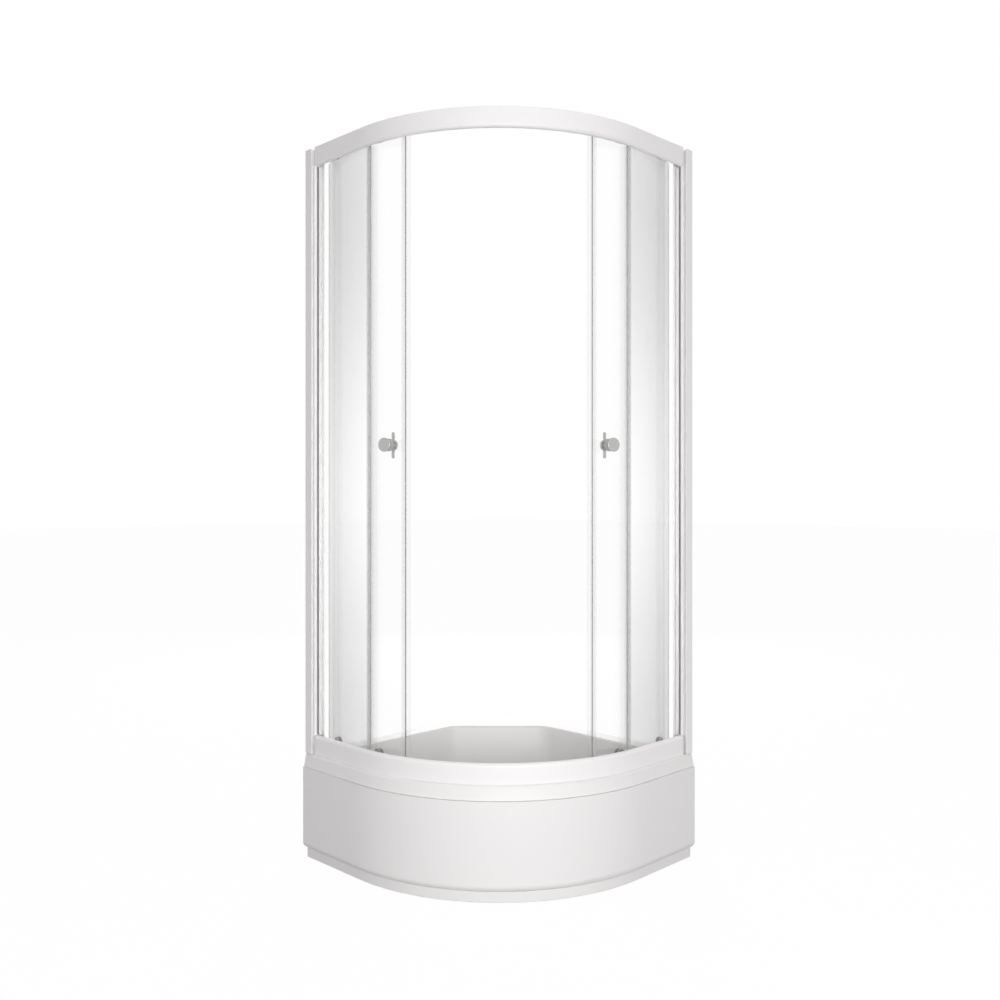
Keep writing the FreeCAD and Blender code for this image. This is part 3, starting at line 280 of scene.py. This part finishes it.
# Frame: aluminium channels, posts and bent rails, all powder coated satin white.
# The posts are screwed in the wall channels, and the rails butt against the posts.
frame_coat = grained(
    "frame_coat", color=(0.85, 0.832, 0.832), gloss=0.46, cloud=0.005, cloud_size=3.0,
    gloss_change=0.04, grain_size=1500.0, grain_depth=0.03, edge=0.0006, specular_ior_level=0.35)
# The posts take a darker copy of the same white coat: painted shade that tones them down.
post_painted_shade_coat = grained(
    "post_painted_shade_coat", color=(0.79, 0.775, 0.775), gloss=0.5, cloud=0.005, cloud_size=3.0,
    gloss_change=0.04, grain_size=1500.0, grain_depth=0.03, specular_ior_level=0.3)
post_screw_steel = grained(
    "post_screw_steel", color=(0.68, 0.68, 0.69), gloss=0.2, edge=0.0005, metallic=1.0)
dress(frame_coat, "top_rail", "bottom_rail", *pair("wall_channel"))
dress(post_painted_shade_coat, *pair("side_post"))
dress(post_screw_steel, "post_screws")

# Gaskets and stops: dark extruded rubber that holds the fixed glass in its post, and a block
# on the top rail that ends each door's run.
dark_rubber = grained(
    "dark_rubber", color=(0.31, 0.305, 0.33), gloss=0.6, grain_size=1800.0, grain_depth=0.25)
dress(dark_rubber, "door_stops", *pair("post_gasket"))

# Glass: flat tempered side panes and bent door panes, clear, with ground edges that look dull.
# A pane seen behind another is painted grey, darker than two panes would make it: painted shade.
# It is lightest at half height, a painted reflection, and on a door it eases from the trailing edge.
PANE_COLOR = (0.985, 0.99, 0.988, 1.0)
EDGE_COLOR = (0.90, 0.92, 0.915, 1.0)
SHADOW_COLOR = (0.90, 0.905, 0.90, 1.0)
EDGE_ROUGHNESS = 0.55
EDGE_FACING = 0.7
BEHIND_PAINTED_SHADE_HEIGHTS = ((0.33, 0.71), (0.62, 0.78), (0.98, 1.0), (1.35, 0.89), (1.70, 0.72), (2.02, 0.70))
BEHIND_PAINTED_SHADE_BLUE = 0.997
BEHIND_PAINTED_SHADE_TRAIL = 0.80
BEHIND_PAINTED_SHADE_LEAD = 1.12
BEHIND_PAINTED_SHADE_REACH = 0.24
PAST_FIRST_PANE = 1.5
DOOR_BOW = math.radians(18.7)
MIX_FIRST, MIX_SECOND, MIX_RESULT = 6, 7, 2


def largest(add, link, values):
    """Chain of maxima over several masks."""
    top = values[0]
    for value in values[1:]:
        both = add("ShaderNodeMath", operation="MAXIMUM")
        link(top, both.inputs[0])
        link(value, both.inputs[1])
        top = both.outputs[0]
    return top


def share_along(add, link, direction, start, end, low=0.0, high=1.0):
    """Place along a direction, from low at one end to high at the other."""
    place = add("ShaderNodeTexCoord")
    along = add("ShaderNodeVectorMath", operation="DOT_PRODUCT")
    along.inputs[1].default_value = direction
    link(place.outputs["Object"], along.inputs[0])
    share = add("ShaderNodeMapRange", from_min=start, from_max=end, to_min=low, to_max=high)
    link(along.outputs["Value"], share.inputs["Value"])
    return share.outputs["Result"]


def grey_ramp(add, stops, interpolation="LINEAR", blue=1.0):
    """Ramp through greys, as (place, grey); blue takes a little of that colour away."""
    ramp = add("ShaderNodeValToRGB")
    ramp.color_ramp.interpolation = interpolation
    elements = ramp.color_ramp.elements
    while len(elements) < len(stops):
        elements.new(0.5)
    for element, (place, grey) in zip(elements, stops):
        element.position = place
        element.color = (grey, grey, grey * blue, 1.0)
    return ramp


def glass_pane(name, node, edge_normals, trail=None, way=None):
    """Clear pane with dull edges; a door's pane is given its trailing edge and the way from it."""
    material = bpy.data.materials.new(name)
    link, add = emptied(material)
    out = add("ShaderNodeOutputMaterial")
    surface = add("ShaderNodeBsdfPrincipled", metallic=0.0, transmission_weight=1.0, ior=1.45)
    place = add("ShaderNodeTexCoord")
    edges = []
    for normal in edge_normals:
        along = add("ShaderNodeVectorMath", operation="DOT_PRODUCT")
        along.inputs[1].default_value = normal
        link(place.outputs["Normal"], along.inputs[0])
        size = add("ShaderNodeMath", operation="ABSOLUTE")
        link(along.outputs["Value"], size.inputs[0])
        near = add("ShaderNodeMath", operation="GREATER_THAN")
        near.inputs[1].default_value = EDGE_FACING
        link(size.outputs[0], near.inputs[0])
        edges.append(near.outputs[0])
    ground = largest(add, link, edges)
    dull = add("ShaderNodeMath", operation="MULTIPLY")
    dull.inputs[1].default_value = EDGE_ROUGHNESS
    link(ground, dull.inputs[0])
    link(dull.outputs[0], surface.inputs["Roughness"])

    # Painted shade for a pane seen behind another: grey by height, lightest at half height as a
    # painted reflection.
    bottom, top = BEHIND_PAINTED_SHADE_HEIGHTS[0][0], BEHIND_PAINTED_SHADE_HEIGHTS[-1][0]
    stops = [((level - bottom) / (top - bottom), grey) for level, grey in BEHIND_PAINTED_SHADE_HEIGHTS]
    ramp = grey_ramp(add, stops, "B_SPLINE", BEHIND_PAINTED_SHADE_BLUE)
    link(share_along(add, link, (0, 0, 1), bottom, top), ramp.inputs["Fac"])
    painted_behind_shade = ramp.outputs["Color"]
    # On a door the painted shade is darkest at the trailing edge and eases towards the lead.
    if way is not None:
        start = trail.dot(way)
        painted_shade_fade = share_along(add, link, way, start, start + BEHIND_PAINTED_SHADE_REACH, BEHIND_PAINTED_SHADE_TRAIL, BEHIND_PAINTED_SHADE_LEAD)
        painted_shade_faded = add("ShaderNodeVectorMath", operation="SCALE")
        link(painted_behind_shade, painted_shade_faded.inputs[0])
        link(painted_shade_fade, painted_shade_faded.inputs["Scale"])
        painted_behind_shade = painted_shade_faded.outputs["Vector"]

    # Past the first pane, the painted shade takes the place of the clear colour.
    rays = add("ShaderNodeLightPath")
    second = add("ShaderNodeMath", operation="GREATER_THAN")
    second.inputs[1].default_value = PAST_FIRST_PANE
    link(rays.outputs["Transmission Depth"], second.inputs[0])
    clear = add("ShaderNodeMix", data_type="RGBA")
    clear.inputs[MIX_FIRST].default_value = PANE_COLOR
    link(second.outputs[0], clear.inputs["Factor"])
    link(painted_behind_shade, clear.inputs[MIX_SECOND])
    tint = add("ShaderNodeMix", data_type="RGBA")
    tint.inputs[MIX_SECOND].default_value = EDGE_COLOR
    link(ground, tint.inputs["Factor"])
    link(clear.outputs[MIX_RESULT], tint.inputs[MIX_FIRST])
    link(tint.outputs[MIX_RESULT], surface.inputs["Base Color"])

    let_through = add("ShaderNodeBsdfTransparent", color=SHADOW_COLOR)
    lamp_or_eye = add("ShaderNodeMixShader")
    link(rays.outputs["Is Shadow Ray"], lamp_or_eye.inputs["Fac"])
    link(surface.outputs["BSDF"], lamp_or_eye.inputs[1])
    link(let_through.outputs["BSDF"], lamp_or_eye.inputs[2])
    link(lamp_or_eye.outputs["Shader"], out.inputs["Surface"])
    dress(material, node)


def middle(node):
    """Middle of a node's box."""
    low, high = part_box(node)
    return (low + high) / 2


glass_pane("fixed_glass_left", "fixed_panel_left", [(1, 0, 0), (0, 0, 1)])
glass_pane("fixed_glass_right", "fixed_panel_right", [(0, 1, 0), (0, 0, 1)])
lead_ways = {}
for side, bend in zip(SIDES, (DOOR_BOW, -DOOR_BOW)):
    trail = middle(f"door_trail_seal_{side}")
    chord = middle(f"door_lead_seal_{side}") - trail
    chord.z = 0
    chord.normalize()
    lead_ways[side] = Matrix.Rotation(bend, 3, "Z") @ chord
    trail_way = Matrix.Rotation(-bend, 3, "Z") @ chord
    edge_normals = [tuple(lead_ways[side]), tuple(trail_way), (0, 0, 1)]
    glass_pane(f"door_glass_{side}", f"door_glass_{side}", edge_normals, trail, trail_way)

# Seals: clear flexible strip pushed over the free edges of the glass; each has a fin or a soft
# blade that closes the gap to the next pane.
SEAL_COLOR = (0.46, 0.46, 0.455, 1.0)
PANEL_SEAL_HAZE = ((0.0, 0.24), (0.38, 0.26), (0.40, 0.24), (0.62, 0.12), (0.97, 0.05), (1.0, 0.10))
LEAD_SEAL_HAZE = ((0.0, 0.04), (0.50, 0.12), (0.56, 0.08), (0.94, 0.05), (1.0, 0.12))
TRAIL_SEAL_HAZE = ((0.0, 0.03), (1.0, 0.05))
PANEL_SEAL_SPECKLE = 0.35
LEAD_SEAL_SPECKLE = 0.2
FREE_WAYS = {"left": Vector((1, 0, 0)), "right": Vector((0, -1, 0))}


def seal_strip(name, node, outward, haze, speckle=0.0):
    """Clear strip whose haze changes across it, as (share of the width, alpha), with specks."""
    material = bpy.data.materials.new(name)
    link, add = emptied(material)
    out = add("ShaderNodeOutputMaterial")
    surface = add("ShaderNodeBsdfPrincipled", base_color=SEAL_COLOR, roughness=0.3)
    spread = [vertex.co.dot(outward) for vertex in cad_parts[node].data.vertices]
    ramp = grey_ramp(add, haze)
    link(share_along(add, link, outward, min(spread), max(spread)), ramp.inputs["Fac"])
    place = add("ShaderNodeTexCoord")
    fleck = add("ShaderNodeTexNoise", scale=260.0, detail=3.0, roughness=0.7)
    link(place.outputs["Object"], fleck.inputs["Vector"])
    uneven = add("ShaderNodeMapRange", from_min=0.3, from_max=0.7, to_min=1.0 - speckle,
                 to_max=1.0 + speckle)
    link(fleck.outputs["Fac"], uneven.inputs["Value"])
    alpha = add("ShaderNodeMath", operation="MULTIPLY")
    link(ramp.outputs["Color"], alpha.inputs[0])
    link(uneven.outputs["Result"], alpha.inputs[1])
    link(alpha.outputs[0], surface.inputs["Alpha"])
    bump = add("ShaderNodeBump", strength=0.1, distance=GRAIN_HEIGHT)
    link(fleck.outputs["Fac"], bump.inputs["Height"])
    link(bump.outputs["Normal"], surface.inputs["Normal"])
    link(surface.outputs["BSDF"], out.inputs["Surface"])
    dress(material, node)


for side in SIDES:
    free_way = FREE_WAYS[side]
    seal_strip(f"panel_seal_{side}", f"panel_seal_{side}", free_way, PANEL_SEAL_HAZE,
               PANEL_SEAL_SPECKLE)
    seal_strip(f"lead_seal_{side}", f"door_lead_seal_{side}", lead_ways[side], LEAD_SEAL_HAZE,
               LEAD_SEAL_SPECKLE)
    seal_strip(f"trail_seal_{side}", f"door_trail_seal_{side}", -free_way, TRAIL_SEAL_HAZE)

# Handles: a turned satin knob on a rosette, over a slim flat bar, held by one screw through
# the glass from inside.
knob_satin = grained(
    "knob_satin", color=(0.47, 0.465, 0.452), gloss=0.34, cloud=0.03, cloud_size=40.0,
    gloss_change=0.10, grain_size=1200.0, grain_depth=0.05, edge=0.0008, metallic=0.6)
dress(knob_satin, *pair("handle_bar", "knob_rosette", "knob_body", "knob_cap", "knob_screw"))

# Running gear: moulded hangers clamp the head of each door, moulded carriers are bolted through
# its foot, and hard plastic rollers turn on their stubs.
carrier_plastic = grained(
    "carrier_plastic", color=(0.29, 0.282, 0.272), gloss=0.35, grain_size=1600.0,
    grain_depth=0.12, edge=0.0008)
roller_plastic = grained(
    "roller_plastic", color=(0.55, 0.55, 0.55), gloss=0.35, grain_size=1600.0,
    grain_depth=0.08, edge=0.0006)
dress(carrier_plastic, *pair("top_hangers", "bottom_carriers", "carrier_caps"))
dress(roller_plastic, *pair("top_lead_wheel", "top_trail_wheel", "bottom_lead_wheel",
                            "bottom_trail_wheel"))

# Studio: a seamless pale floor that runs on into a white surround, a large soft lamp beside the
# camera, a weaker one behind the part and a weak fill from above. The bent panes don't mirror
# the lamps.
WHITE = (1.0, 1.0, 1.0, 1.0)
FLOOR_REACH = 30.0
FLOOR_PAINT = (0.4, 0.4, 0.4, 1.0)
FLOOR_GLOW = 1.07
GLOW_SHARE = 0.90
OVERHEAD_LEVEL = 0.82
SIDE_LEVEL = 0.02
SHOWN_LEVEL = 1.0
LAMP_REACH = 4.6
LAMP_WIDTH = 2.2
LAMP_TALL = 1.6
LAMP_AIM = Vector((0.0, 0.0, 1.1))
LAMPS = (  # name, bearing in degrees, height, watts
    ("front_lamp", -38.0, 1.1, 151.0),
    ("back_lamp", 135.0, 1.8, 70.0),
)


def shown_rays(add, link):
    """Mask of the rays that show the background, straight, through glass or mirrored."""
    rays = add("ShaderNodeLightPath")
    kinds = ("Is Camera Ray", "Is Transmission Ray", "Is Glossy Ray")
    return largest(add, link, [rays.outputs[kind] for kind in kinds])


floor_white = bpy.data.materials.new("floor_white")
link, add = emptied(floor_white)
out = add("ShaderNodeOutputMaterial")
paint = add("ShaderNodeBsdfDiffuse", color=FLOOR_PAINT)
glow = add("ShaderNodeEmission", color=WHITE, strength=FLOOR_GLOW)
blend = add("ShaderNodeMixShader")
share = add("ShaderNodeMath", operation="MULTIPLY")
share.inputs[1].default_value = GLOW_SHARE
link(shown_rays(add, link), share.inputs[0])
link(share.outputs[0], blend.inputs["Fac"])
link(paint.outputs["BSDF"], blend.inputs[1])
link(glow.outputs["Emission"], blend.inputs[2])
link(blend.outputs["Shader"], out.inputs["Surface"])
shape = bmesh.new()
bmesh.ops.create_grid(shape, x_segments=1, y_segments=1, size=FLOOR_REACH)
floor = new_piece("floor", shape, floor_white)

world = bpy.data.worlds.new("surround")
scene.world = world
link, add = emptied(world)
out = add("ShaderNodeOutputWorld")
sky = add("ShaderNodeBackground", color=WHITE)
way = add("ShaderNodeTexCoord")
split = add("ShaderNodeSeparateXYZ")
link(way.outputs["Generated"], split.inputs["Vector"])
overhead = add("ShaderNodeMapRange", from_min=0.0, from_max=1.0, to_min=SIDE_LEVEL,
               to_max=OVERHEAD_LEVEL)
link(split.outputs["Z"], overhead.inputs["Value"])
level = add("ShaderNodeMix", data_type="FLOAT")
level.inputs["B"].default_value = SHOWN_LEVEL
link(shown_rays(add, link), level.inputs["Factor"])
link(overhead.outputs["Result"], level.inputs["A"])
link(level.outputs["Result"], sky.inputs["Strength"])
link(sky.outputs["Background"], out.inputs["Surface"])

door_panes = bpy.data.collections.new("door_panes")
for node in pair("door_glass"):
    door_panes.objects.link(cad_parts[node])
for entry in door_panes.collection_objects:
    entry.light_linking.link_state = "EXCLUDE"

for name, bearing, height, watts in LAMPS:
    lamp_data = bpy.data.lights.new(name, "AREA")
    lamp_data.shape = "RECTANGLE"
    lamp_data.size = LAMP_WIDTH
    lamp_data.size_y = LAMP_TALL
    lamp_data.energy = watts
    lamp = bpy.data.objects.new(name, lamp_data)
    scene.collection.objects.link(lamp)
    turn = math.radians(bearing)
    lamp.location = (LAMP_REACH * math.cos(turn), LAMP_REACH * math.sin(turn), height)
    lamp.rotation_mode = "QUATERNION"
    lamp.rotation_quaternion = (LAMP_AIM - lamp.location).to_track_quat("-Z", "Y")
    lamp.visible_camera = False
    lamp.visible_transmission = False
    lamp.light_linking.receiver_collection = door_panes

# Camera: level, on the diagonal of the plan and at about half the part's height, as the
# photograph was taken.
CAMERA_REACH = 3.480
CAMERA_HEIGHT = 1.052
camera_data = bpy.data.cameras.new("camera")
camera_data.lens = 36.3
camera_data.sensor_width = 36.0
camera_data.shift_x = 0.0011
camera_data.shift_y = -0.0053
camera = bpy.data.objects.new("camera", camera_data)
scene.collection.objects.link(camera)
half_plan = (cad_high.x - cad_low.x) / 2
along = CAMERA_REACH / math.sqrt(2)
camera.location = (along - half_plan, half_plan - along, CAMERA_HEIGHT)
camera.rotation_mode = "QUATERNION"
camera.rotation_quaternion = Vector((-1.0, 1.0, 0.0)).to_track_quat("-Z", "Y")
scene.camera = camera

scene.view_settings.view_transform = "Standard"
